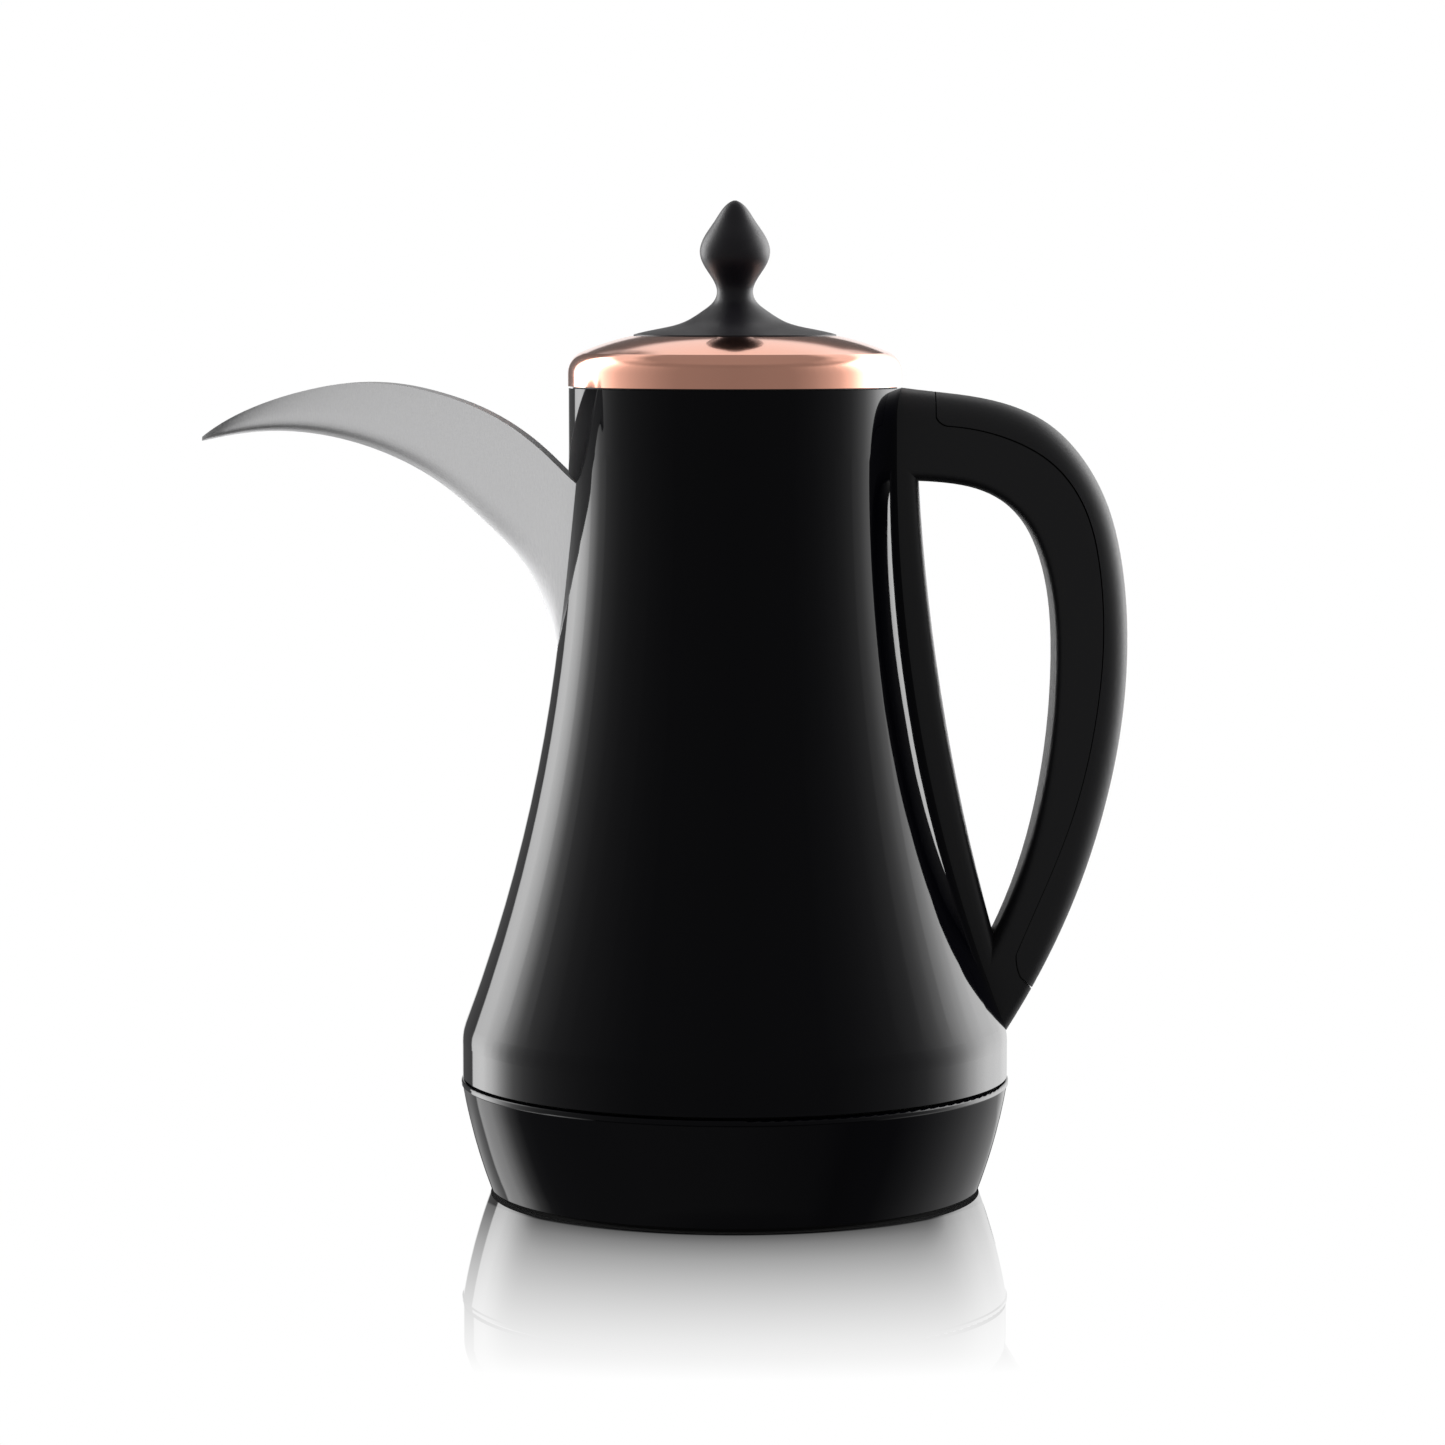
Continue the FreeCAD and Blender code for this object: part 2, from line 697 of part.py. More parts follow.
def jug_base_cover():
    """Moulded dish that closes the jug's underside and stands inside the cup."""
    inner_flange = band_r - shell_wall - plate_clearance
    foot_r = cup_floor_r - skirt_clearance
    top_z = shell_bottom_z + cover_flange_height
    seal_z = shell_bottom_z + cover_flange_height / 2
    floor_z = cover_bottom_z + cover_wall
    bend = cover_bend
    arc = bend * 0.3
    skirt_top_r = cup_top_r - skirt_clearance
    cover = turned(
        (socket_sleeve_r() + plate_clearance, cover_bottom_z),
        (foot_r - bend, cover_bottom_z),
        ((foot_r - arc, cover_bottom_z + arc), (foot_r, cover_bottom_z + bend)),
        (skirt_top_r, base_top_z),
        (inner_flange, shell_bottom_z),
        (inner_flange, seal_z),
        (inner_flange - seal_depth, seal_z),
        (inner_flange - seal_depth, seal_z + seal_height),
        (inner_flange, seal_z + seal_height),
        (inner_flange, top_z),
        (inner_flange - seal_depth - cover_wall, top_z),
        (inner_flange - seal_depth - cover_wall, shell_bottom_z + cover_wall),
        (skirt_top_r - cover_wall - cover_web, base_top_z),
        (foot_r - cover_wall, floor_z + bend),
        ((foot_r - cover_wall - arc, floor_z + arc), (foot_r - cover_wall - bend, floor_z)),
        (socket_sleeve_r() + plate_clearance, floor_z),
    )
    for x, y in around(3, cover_screw_ring_r(), 90):
        cover = cover.fuse(disc(cover_boss_r, floor_z, lug_bottom_z, x, y))
        cover = cover.cut(disc(screw_r + screw_clearance, cover_bottom_z, lug_bottom_z, x, y))
        cover = cover.cut(disc(screw_head_r + screw_clearance, cover_bottom_z, cover_head_z(), x, y))
    return cover


def cover_head_z():
    return cover_bottom_z + cover_wall + screw_head_height


def cover_screws():
    solids = []
    low_z = cover_head_z()
    for x, y in around(3, cover_screw_ring_r(), 90):
        head = disc(screw_head_r, low_z - screw_head_height, low_z, x, y)
        solids.append(head.fuse(disc(screw_r, low_z, lug_bottom_z + heater_lug_length - 1, x, y)))
    return Part.makeCompound(solids)


def bottom_seal():
    seal_z = shell_bottom_z + cover_flange_height / 2
    outer = band_r - shell_wall - fit_clearance
    inner = band_r - shell_wall - plate_clearance - seal_depth + fit_clearance
    return tube(inner, outer, seal_z + fit_clearance, seal_z + seal_height - fit_clearance)


def vessel_floor_r():
    """Radius of the flat part of the vessel's floor."""
    reach = wall_arc_r + vessel_inset + vessel_corner
    return wall_centre_r - math.sqrt(reach**2 - (neck_start_z - vessel_floor_z - vessel_corner) ** 2)


def cover_screw_ring_r():
    return vessel_floor_r() - cover_screw_inset


def heater_plate():
    plate = disc(vessel_floor_r(), heater_bottom_z, vessel_floor_z)
    plate = plate.fuse(disc(heater_pad_r, socket_top_z, heater_bottom_z))
    for x, y in around(3, cover_screw_ring_r(), 90):
        plate = plate.fuse(disc(heater_lug_r, lug_bottom_z, heater_bottom_z, x, y))
        plate = plate.cut(disc(screw_r + screw_pilot, lug_bottom_z, heater_bottom_z, x, y))
    return plate


def heating_element():
    """Sheathed tube bent into an open ring, with two cold tails down to the control."""
    centre_z = heater_bottom_z - element_tube_r
    start = math.radians(element_gap_angle / 2)
    at = V(element_ring_r * math.cos(start), element_ring_r * math.sin(start), centre_z)
    side = V(-math.sin(start), math.cos(start), 0)
    circle = Part.Face(Part.Wire(Part.Circle(at, side, element_tube_r).toShape()))
    ring = circle.revolve(ORIGIN, UP, 360 - element_gap_angle)
    for turn in (1, -1):
        tail = start + element_tube_r / element_ring_r
        x = element_ring_r * math.cos(tail)
        y = element_ring_r * math.sin(tail) * turn
        ring = ring.fuse(disc(element_tail_r, socket_top_z, centre_z, x, y))
    return ring


def socket_sleeve_r():
    return tower_r + plug_clearance + socket_wall


def jug_socket():
    """Thermostat control whose underside plugs over the base's round connector."""
    low_z = cover_bottom_z + socket_inset
    roof_z = tower_top_z + plug_clearance
    tongue_z = tower_top_z - slot_depth + plug_clearance + tongue_play
    step_z = roof_z + socket_roof
    slot = ring_contact_wall + tongue_play
    return turned(
        (tower_r + plug_clearance, low_z),
        (socket_sleeve_r(), low_z),
        (socket_sleeve_r(), step_z),
        (socket_flange_r, step_z),
        (socket_flange_r, socket_top_z),
        (0, socket_top_z),
        (0, roof_z),
        (pin_r + tongue_play, roof_z),
        (pin_r + tongue_play, tongue_z),
        (centre_bore_r - tongue_play, tongue_z),
        (centre_bore_r - tongue_play, roof_z),
        (slot_inner_r + slot, roof_z),
        (slot_inner_r + slot, tongue_z),
        (slot_outer_r - plug_clearance, tongue_z),
        (slot_outer_r - plug_clearance, roof_z),
        (tower_r + plug_clearance, roof_z),
    )


# ---------------------------------------------------------------- handle
def below_rim(share):
    """Height on the handle, as a share of the way from the rim down to its tip."""
    return shell_top_z - share * handle_length


def at_wall(reach, share, lift=0.0):
    """Point on the handle's side: reach out from the body's wall, share of the way down."""
    z = below_rim(share)
    return rz(wall_r(z) + reach, z + lift)


def wall_cylinder(share, r, start, length):
    """Cylinder on the handle's side, square to the body's wall, starting inside or outside it."""
    z = below_rim(share)
    tilt = max(0.0, neck_start_z - z) / wall_arc_r
    out = V(math.sqrt(1 - tilt * tilt), 0, tilt)
    foot = rz(wall_r(z), z)
    return Part.makeCylinder(r, length - start, foot + out * start, out)


def handle_outline(inset=0.0):
    """Outer curve of the handle, or the curve inset from it, closed inside the body."""
    points = [rz(neck_r, shell_top_z)] + [at_wall(*pair) for pair in handle_outer]
    curve = Part.BSplineCurve()
    curve.interpolate(points)
    moved = []
    for point in points:
        along = curve.tangent(curve.parameter(point))[0]
        moved.append(point + V(-along.z, 0, along.x) * -inset)
    inside = neck_r - vessel_inset - 2 * vessel_inset
    end = curve.tangent(curve.parameter(points[-1]))[0]
    sunk = moved[-1] + end * handle_tip_sink
    corner = rz(inside, moved[0].z)
    foot = rz(inside, sunk.z)
    return Part.Wire([
        Part.LineSegment(corner, moved[0]).toShape(),
        spline(moved),
        Part.LineSegment(moved[-1], sunk).toShape(),
        Part.LineSegment(sunk, foot).toShape(),
        Part.LineSegment(foot, corner).toShape(),
    ])


def handle_hole():
    """Finger gap: the loop's inner curve, closed by the outer face of the spine."""
    high, low = handle_hole_ends
    ends = [at_wall(proud, at) for proud, at in zip(spine_proud, (high, (high + low) / 2, low))]
    top, middle, bottom = ends
    points = [top] + [at_wall(*pair) for pair in handle_inner] + [bottom]
    return Part.Wire([spline(points), Part.Arc(bottom, middle, top).toShape()])


def extruded(wire, half):
    wire.translate(V(0, -half, 0))
    return Part.Face(wire).extrude(V(0, 2 * half, 0))


def handle_sides():
    """Block seen from behind: parallel down to the taper, then narrowing to the tip."""
    high_z = shell_top_z + handle_margin
    taper_z = below_rim(handle_taper_share)
    tip_z = below_rim(1) - handle_margin
    wide = handle_half_width
    thin = handle_tip_half_width
    middle = V(0, 0.56 * wide + 0.44 * thin, 0.4 * taper_z + 0.6 * tip_z)
    points = [V(0, wide, high_z), V(0, wide, taper_z), middle, V(0, thin, tip_z)]
    mirrored = [V(0, -p.y, p.z) for p in points]
    wire = Part.Wire([
        Part.LineSegment(points[0], points[1]).toShape(),
        Part.Arc(points[1], points[2], points[3]).toShape(),
        Part.LineSegment(points[3], mirrored[3]).toShape(),
        Part.Arc(mirrored[3], mirrored[2], mirrored[1]).toShape(),
        Part.LineSegment(mirrored[1], mirrored[0]).toShape(),
        Part.LineSegment(mirrored[0], points[0]).toShape(),
    ])
    return Part.Face(wire).extrude(V(2 * band_r, 0, 0))


def side_edges(solid):
    """Edges that run along either side of the handle, with the middle point of each."""
    for edge in solid.Edges:
        box = edge.BoundBox
        if box.YLength < 2 * handle_tip_half_width and box.ZLength > handle_margin:
            yield edge, edge.valueAt((edge.FirstParameter + edge.LastParameter) / 2)


def handle_solid():
    """Loop, spine and tip in one piece, rounded, with its back shaped to the body."""
    body = extruded(handle_outline(), handle_half_width).common(handle_sides())
    outer = [edge for edge, at in side_edges(body) if at.x > wall_r(at.z) + spine_proud[0]]
    body = body.makeFillet(handle_round, handle_tip_round, outer)
    gap = extruded(handle_hole(), 2 * handle_half_width)
    body = body.cut(gap)
    inner = [edge for edge, at in side_edges(body) if gap.isInside(at, 0.01, True)]
    body = body.makeFillet(handle_hole_round, inner)
    return body.cut(banded_body(0, shell_bottom_z, shell_top_z + handle_margin))


def grip_region(gap):
    """Area outside the seam, in the side view. A gap moves the seam outwards."""
    start = at_wall(grip_start_reach + gap, 0, handle_margin)
    seam = [at_wall(reach + gap, share, gap) for reach, share in grip_seam]
    under = at_wall(grip_start_reach + gap, grip_seam[0][1], grip_corner + gap)
    last = seam[-1]
    bend = V(last.x + grip_corner * 0.5, 0, last.z - grip_corner * 2.6)
    out = V(last.x + 2 * grip_end_run, 0, last.z - 3 * grip_end_run)
    far_x = neck_r + 2 * handle_length
    corner_top = rz(far_x, start.z)
    corner_low = rz(far_x, out.z)
    bulge = grip_corner * 0.2
    low_arc = Part.Arc(last, V(last.x + 0.1 * grip_corner, 0, last.z - 1.4 * grip_corner), bend)
    return Part.Wire([
        Part.LineSegment(start, under).toShape(),
        Part.Arc(under, (under + seam[0]) * 0.5 - V(bulge, 0, bulge), seam[0]).toShape(),
        spline(seam),
        low_arc.toShape(),
        Part.LineSegment(bend, out).toShape(),
        Part.LineSegment(out, corner_low).toShape(),
        Part.LineSegment(corner_low, corner_top).toShape(),
        Part.LineSegment(corner_top, start).toShape(),
    ])


def grip_tongue(clearance):
    """Rib of the frame that reaches out under the grip's skin."""
    return extruded(handle_outline(tongue_inset - clearance), tongue_half_width + clearance)


def handle_frame(whole):
    outside = extruded(grip_region(0), 2 * handle_half_width)
    tongue = whole.common(outside).common(grip_tongue(0))
    frame = whole.cut(outside).fuse(tongue)
    for share in handle_screws_at:
        pilot = wall_cylinder(share, screw_r + screw_pilot, -shell_wall, handle_screw_length + 1)
        frame = frame.cut(pilot)
    return frame


def handle_grip(whole):
    outside = extruded(grip_region(grip_gap), 2 * handle_half_width)
    return whole.common(outside).cut(grip_tongue(tongue_clearance))


def handle_screws():
    solids = []
    inside_r = neck_r - shell_wall
    seat = shell_wall + inside_r - math.sqrt(inside_r**2 - screw_head_r**2) + screw_seat_gap
    for share in handle_screws_at:
        head = wall_cylinder(share, screw_head_r, -seat - screw_head_height, -seat)
        shank = wall_cylinder(share, screw_r, -seat - screw_head_height / 2, handle_screw_length)
        solids.append(head.fuse(shank))
    return Part.makeCompound(solids)


# ---------------------------------------------------------------- lid
def lid_cover():
    """Spun copper-coloured cap: upright side, rounded shoulder, crease and low cone."""
    side_z = lid_edge_z + lid_band
    crease_r = lid_r - lid_shoulder_run
    shoulder = (lid_r - lid_shoulder_run * 0.33, side_z + lid_shoulder_rise * 0.64)
    cone_mid = ((crease_r + lid_seat_r) / 2, (lid_crease_z + lid_seat_z) / 2 + lid_cone_swell)
    t = lid_sheet
    hole = screw_r + screw_clearance + fit_clearance
    return turned(
        (hole, lid_seat_z), (hole, lid_seat_z - t), (lid_seat_r, lid_seat_z - t),
        ((cone_mid[0] - 0.35 * t, cone_mid[1] - t), (crease_r - 0.6 * t, lid_crease_z - t)),
        ((shoulder[0] - 0.9 * t, shoulder[1] - 0.5 * t), (lid_r - t, side_z)),
        (lid_r - t, lid_edge_z), (lid_r, lid_edge_z), (lid_r, side_z),
        (shoulder, (crease_r, lid_crease_z)),
        (cone_mid, (lid_seat_r, lid_seat_z)),
    )


def finial_knob():
    """Pointed bulb on a waist that sweeps out into a thin skirt."""
    z = lid_seat_z
    tip_z = z + finial_height
    bulb_z = z + finial_bulb_height
    neck_z = z + finial_neck_height
    flare = [
        rz(skirt_r, z + skirt_edge),
        rz(skirt_r * 0.71, z + finial_neck_height * 0.19),
        rz(skirt_r * 0.50, z + finial_neck_height * 0.33),
        rz(finial_neck_r * 1.75, z + finial_neck_height * 0.60),
        rz(finial_neck_r * 1.12, z + finial_neck_height * 0.85),
        rz(finial_neck_r, neck_z),
        rz(finial_neck_r * 1.33, neck_z + (bulb_z - neck_z) * 0.40),
        rz(finial_bulb_r * 0.93, neck_z + (bulb_z - neck_z) * 0.73),
        rz(finial_bulb_r, bulb_z),
        rz(finial_bulb_r * 0.965, bulb_z + (tip_z - bulb_z) * 0.13),
        rz(finial_bulb_r * 0.57, bulb_z + (tip_z - bulb_z) * 0.60),
        rz(finial_bulb_r * 0.17, bulb_z + (tip_z - bulb_z) * 0.955),
        rz(finial_tip_r, tip_z),
    ]
    edges = [
        Part.LineSegment(flare[-1], rz(0, tip_z)).toShape(),
        Part.LineSegment(rz(0, tip_z), rz(0, z)).toShape(),
        Part.LineSegment(rz(0, z), rz(skirt_r, z)).toShape(),
        Part.LineSegment(rz(skirt_r, z), flare[0]).toShape(),
        spline(flare),
    ]
    body = Part.Face(Part.Wire(edges)).revolve(ORIGIN, UP, 360)
    return body.cut(disc(screw_r + screw_pilot, z - 1, finial_screw_top_z() + 1))


def plug_r():
    return neck_r - vessel_inset - vessel_wall - plug_gap


def liner_flange_z():
    return shell_top_z - rim_recess + liner_rest


def plug_bottom_z():
    return liner_flange_z() - plug_depth


def lid_liner():
    """Cup-shaped plug with a flange over the rim and a post up to the cover."""
    flange_z = liner_flange_z()
    flange_top = flange_z + liner_flange_wall
    flange_r = lid_r - lid_sheet - liner_clearance
    bottom_z = plug_bottom_z()
    groove_z = gasket_z()
    inner = plug_r() - liner_wall
    roof_z = lid_seat_z - lid_sheet
    return turned(
        (screw_r + screw_clearance, screw_seat_z()),
        (screw_head_r + screw_clearance, screw_seat_z()),
        (screw_head_r + screw_clearance, bottom_z),
        (plug_r(), bottom_z),
        (plug_r(), groove_z),
        (plug_r() - gasket_depth, groove_z),
        (plug_r() - gasket_depth, groove_z + gasket_height),
        (plug_r(), groove_z + gasket_height),
        (plug_r(), flange_z),
        (flange_r, flange_z),
        (flange_r, flange_top),
        (inner, flange_top),
        (inner, bottom_z + liner_wall),
        (liner_post_r, bottom_z + liner_wall),
        (liner_post_r, roof_z),
        (screw_r + screw_clearance, roof_z),
    )


def gasket_z():
    return plug_bottom_z() + plug_depth * gasket_share


def screw_seat_z():
    return plug_bottom_z() + screw_head_height + liner_screw_seat


def finial_screw_top_z():
    return screw_seat_z() + finial_screw_length


def lid_gasket():
    outer = neck_r - vessel_inset - vessel_wall - gasket_clearance
    inner = plug_r() - gasket_depth + fit_clearance
    low_z = gasket_z() + fit_clearance
    return tube(inner, outer, low_z, low_z + gasket_height - 2 * fit_clearance)


def finial_screw():
    seat_z = screw_seat_z()
    head = disc(screw_head_r, seat_z - screw_head_height, seat_z)
    return head.fuse(disc(screw_r, seat_z, finial_screw_top_z()))


# ---------------------------------------------------------------- all pieces
def build():
    whole_handle = handle_solid()
    return {
        "base_housing": base_housing(),
        "base_bottom_plate": base_bottom_plate(),
        "foot_ring": foot_ring(),
        "base_screws": base_screws(),
        "connector_housing": connector_housing(),
        "live_pin": live_pin(),
        "ring_contact": ring_contact(),
        "power_button": power_button(),
        "power_switch": power_switch(),
        "control_board": control_board(),
        "indicator_lens": indicator_lens(),
        "cord_gland": cord_gland(),
        "terminal_block": terminal_block(),
        "body_shell": body_shell(),
        "inner_vessel": inner_vessel(),
        "rim_collar": rim_collar(),
        "spout": spout(),
        "spout_strainer": spout_strainer(),
        "jug_base_cover": jug_base_cover(),
        "cover_screws": cover_screws(),
        "bottom_seal": bottom_seal(),
        "heater_plate": heater_plate(),
        "heating_element": heating_element(),
        "jug_socket": jug_socket(),
        "handle_frame": handle_frame(whole_handle),
        "handle_grip": handle_grip(whole_handle),
        "handle_screws": handle_screws(),
        "lid_cover": lid_cover(),
        "finial_knob": finial_knob(),
        "lid_liner": lid_liner(),
        "lid_gasket": lid_gasket(),
        "finial_screw": finial_screw(),
    }


os.makedirs("parts", exist_ok=True)
for name, shape in build().items():
    shape.exportStep("parts/" + name + ".step")
    print(name, len(shape.Solids), shape.isValid(), round(shape.Volume, 1))
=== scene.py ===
"""Studio picture of the cordless dallah: camera, finishes, light and floor.

Metres, in the part's own frame: the spout points to -X and the handle to +X.
"""
import math

import bpy
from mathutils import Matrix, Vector


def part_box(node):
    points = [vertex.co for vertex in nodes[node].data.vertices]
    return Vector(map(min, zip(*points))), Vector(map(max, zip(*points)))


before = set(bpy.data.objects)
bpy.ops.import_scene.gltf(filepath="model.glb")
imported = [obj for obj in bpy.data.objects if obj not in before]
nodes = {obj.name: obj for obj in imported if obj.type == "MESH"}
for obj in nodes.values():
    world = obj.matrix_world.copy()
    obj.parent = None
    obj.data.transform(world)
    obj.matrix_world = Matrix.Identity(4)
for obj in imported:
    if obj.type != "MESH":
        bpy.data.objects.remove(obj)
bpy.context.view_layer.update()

scene = bpy.context.scene

# ---------------------------------------------------------------- camera
CAMERA_AT = Vector((-0.0034, -1.3423, 0.2475))
CAMERA_TILT = math.radians(5.044)   # looks down by this much
CAMERA_SENSOR = 36                  # width in mm
CAMERA_LENS = 122.08                # focal length in mm
CAMERA_REACH = 50                   # farthest distance drawn


def add_camera():
    data = bpy.data.cameras.new("camera")
    data.sensor_width = CAMERA_SENSOR
    data.lens = CAMERA_LENS
    data.clip_end = CAMERA_REACH
    camera = bpy.data.objects.new("camera", data)
    camera.location = CAMERA_AT
    camera.rotation_euler = (math.pi / 2 - CAMERA_TILT, 0, 0)
    scene.collection.objects.link(camera)
    scene.camera = camera


# ---------------------------------------------------------------- node helpers
class Graph:
    """A material's node tree with its principled shader."""

    def __init__(self, name, colour, roughness, metallic=0.0):
        self.material = bpy.data.materials.new(name)
        self.material.use_nodes = True
        self.tree = self.material.node_tree
        self.shader = self.tree.nodes["Principled BSDF"]
        self.set("Base Color", (*colour, 1))
        self.set("Roughness", roughness)
        self.set("Metallic", metallic)

    def set(self, socket, value):
        self.shader.inputs[socket].default_value = value

    def node(self, kind, **settings):
        node = self.tree.nodes.new(kind)
        for key, value in settings.items():
            setattr(node, key, value)
        return node

    def link(self, source, target):
        self.tree.links.new(source, target)

    def place(self, scale=(1, 1, 1)):
        """Position on the object, stretched by scale."""
        coordinates = self.node("ShaderNodeTexCoord")
        mapping = self.node("ShaderNodeMapping")
        mapping.inputs["Scale"].default_value = scale
        self.link(coordinates.outputs["Object"], mapping.inputs["Vector"])
        return mapping.outputs["Vector"]

    def noise(self, size, detail=2.0, stretch=(1, 1, 1)):
        """Noise whose grains are about size metres across, before the stretch."""
        noise = self.node("ShaderNodeTexNoise")
        noise.inputs["Scale"].default_value = 1 / size
        noise.inputs["Detail"].default_value = detail
        self.link(self.place(stretch), noise.inputs["Vector"])
        return noise.outputs["Fac"]

    def spread(self, source, low, high, start=0.3, end=0.7):
        """Maps the middle of a 0 to 1 pattern to low..high."""
        remap = self.node("ShaderNodeMapRange")
        remap.inputs["From Min"].default_value = start
        remap.inputs["From Max"].default_value = end
        remap.inputs["To Min"].default_value = low
        remap.inputs["To Max"].default_value = high
        self.link(source, remap.inputs["Value"])
        return remap.outputs["Result"]

    def tint(self, source, dark, light):
        """Colour that runs from dark to light with a pattern."""
        mix = self.node("ShaderNodeMix", data_type="RGBA")
        mix.inputs["A"].default_value = (*dark, 1)
        mix.inputs["B"].default_value = (*light, 1)
        self.link(source, mix.inputs["Factor"])
        self.link(mix.outputs["Result"], self.shader.inputs["Base Color"])

    def rough(self, source, low, high):
        self.link(self.spread(source, low, high), self.shader.inputs["Roughness"])

    def bump(self, source, height, strength=1.0):
        bump = self.node("ShaderNodeBump")
        bump.inputs["Distance"].default_value = height
        bump.inputs["Strength"].default_value = strength
        self.link(source, bump.inputs["Height"])
        self.link(bump.outputs["Normal"], self.shader.inputs["Normal"])


# ---------------------------------------------------------------- finishes
def gloss_black():
    graph = Graph("gloss_black", (0.0012, 0.0012, 0.0024), 0.05)
    graph.set("IOR", 1.23)
    graph.rough(graph.noise(0.03, 3), 0.03, 0.05)
    graph.bump(graph.noise(0.0035, 1), 0.000001)
    return graph.material


def moulded_black(name, colour, roughness, grain, depth, shine=0.5):
    """Black plastic with a fine eroded grain."""
    graph = Graph(name, colour, roughness)
    graph.set("Specular IOR Level", shine)
    pattern = graph.noise(grain, 3)
    graph.rough(pattern, roughness - 0.05, roughness + 0.06)
    graph.tint(pattern, [0.75 * c for c in colour], [1.3 * c for c in colour])
    graph.bump(pattern, depth)
    return graph.material


def rose_copper():
    graph = Graph("rose_copper", (0.96, 0.47, 0.34), 0.1, 1.0)
    graph.set("Coat Weight", 0.4)
    graph.set("Coat Roughness", 0.04)
    graph.set("Coat IOR", 1.6)
    graph.rough(graph.noise(0.02, 3), 0.09, 0.13)
    graph.bump(graph.noise(0.0006, 2, (0.3, 0.3, 6)), 0.000001)
    return graph.material


def brushed_steel():
    """Stainless sheet brushed upright, so its highlights spread sideways."""
    graph = Graph("brushed_steel", (0.62, 0.62, 0.62), 0.5, 1.0)
    graph.set("Anisotropic", 0.8)
    brushing = graph.noise(0.0005, 4, (1, 1, 0.012))
    graph.rough(brushing, 0.46, 0.56)
    graph.tint(brushing, (0.5, 0.5, 0.51), (0.78, 0.78, 0.78))
    graph.bump(brushing, 0.00002)
    normal = graph.node("ShaderNodeNewGeometry").outputs["Normal"]
    across = graph.node("ShaderNodeVectorMath", operation="CROSS_PRODUCT")
    across.inputs[1].default_value = (0, 0, 1)
    graph.link(normal, across.inputs[0])
    graph.link(across.outputs["Vector"], graph.shader.inputs["Tangent"])
    return graph.material


def drawn_steel():
    """Stainless sheet with faint rings round it."""
    graph = Graph("drawn_steel", (0.6, 0.6, 0.6), 0.2, 1.0)
    rings = graph.noise(0.0006, 3, (0.02, 0.02, 1))
    graph.rough(rings, 0.16, 0.3)
    graph.bump(rings, 0.000004)
    return graph.material


def plain_metal(name, colour, roughness):
    """Metal with a fine uneven tone."""
    graph = Graph(name, colour, roughness, 1.0)
    pattern = graph.noise(0.001, 3)
    graph.rough(pattern, roughness - 0.06, roughness + 0.08)
    graph.tint(pattern, [0.85 * c for c in colour], colour)
    return graph.material


def clear_lens():
    """Frosted plastic that lets some light through."""
    graph = Graph("clear_lens", (0.5, 0.52, 0.55), 0.3)
    graph.set("Transmission Weight", 0.3)
    graph.rough(graph.noise(0.0005, 1), 0.25, 0.35)
    return graph.material


def white_silicone():
    graph = Graph("white_silicone", (0.72, 0.72, 0.70), 0.5)
    graph.set("Subsurface Weight", 0.2)
    graph.rough(graph.noise(0.0008, 2), 0.45, 0.55)
    return graph.material


def dress(material, *names):
    """Puts a finish on CAD nodes."""
    for name in names:
        for slot in nodes[name].material_slots:
            slot.material = material


def dress_nodes():
    dress(gloss_black(), "body_shell", "base_housing")
    dress(rose_copper(), "lid_cover")
    dress(brushed_steel(), "spout", "spout_strainer")
    dress(drawn_steel(), "inner_vessel")
    satin = moulded_black("satin_black", (0.008, 0.008, 0.0095), 0.42, 0.0004, 0.000008, 0.35)
    dress(satin, "handle_frame", "power_button")
    soft = moulded_black("soft_black", (0.007, 0.007, 0.0085), 0.5, 0.0003, 0.00001, 0.4)
    dress(soft, "handle_grip")
    grained = moulded_black("finial_black", (0.008, 0.007, 0.0105), 0.42, 0.0003, 0.00003, 0.35)
    dress(grained, "finial_knob")
    plastic = moulded_black("plain_black", (0.018, 0.018, 0.018), 0.5, 0.0005, 0.00001)
    dress(plastic, "connector_housing", "power_switch", "jug_base_cover", "jug_socket", "lid_liner")
    rubber = moulded_black("rubber_black", (0.016, 0.016, 0.016), 0.7, 0.0006, 0.00001)
    dress(rubber, "cord_gland", "rim_collar", "bottom_seal")
    underside = moulded_black("dull_black", (0.01, 0.01, 0.01), 0.9, 0.0006, 0.00001, 0.05)
    dress(underside, "foot_ring", "base_bottom_plate")
    screw = plain_metal("screw_steel", (0.55, 0.55, 0.56), 0.3)
    dress(screw, "base_screws", "cover_screws", "handle_screws", "finial_screw")
    dress(plain_metal("brass", (0.80, 0.62, 0.32), 0.25), "live_pin", "ring_contact")
    dress(plain_metal("cast_aluminium", (0.7, 0.7, 0.7), 0.45), "heater_plate")
    dress(plain_metal("element_steel", (0.35, 0.33, 0.31), 0.4), "heating_element")
    dress(clear_lens(), "indicator_lens")
    dress(white_silicone(), "lid_gasket", "terminal_block")
    board = moulded_black("circuit_board", (0.02, 0.12, 0.05), 0.4, 0.001, 0.00001)
    dress(board, "control_board")


CORNER = math.radians(28)   # faces that meet at a larger angle keep their edge


def smooth_nodes():
    """Smooth shading that keeps real corners."""
    for node in nodes.values():
        node.data.shade_smooth()
        node.data.set_sharp_from_angle(angle=CORNER)


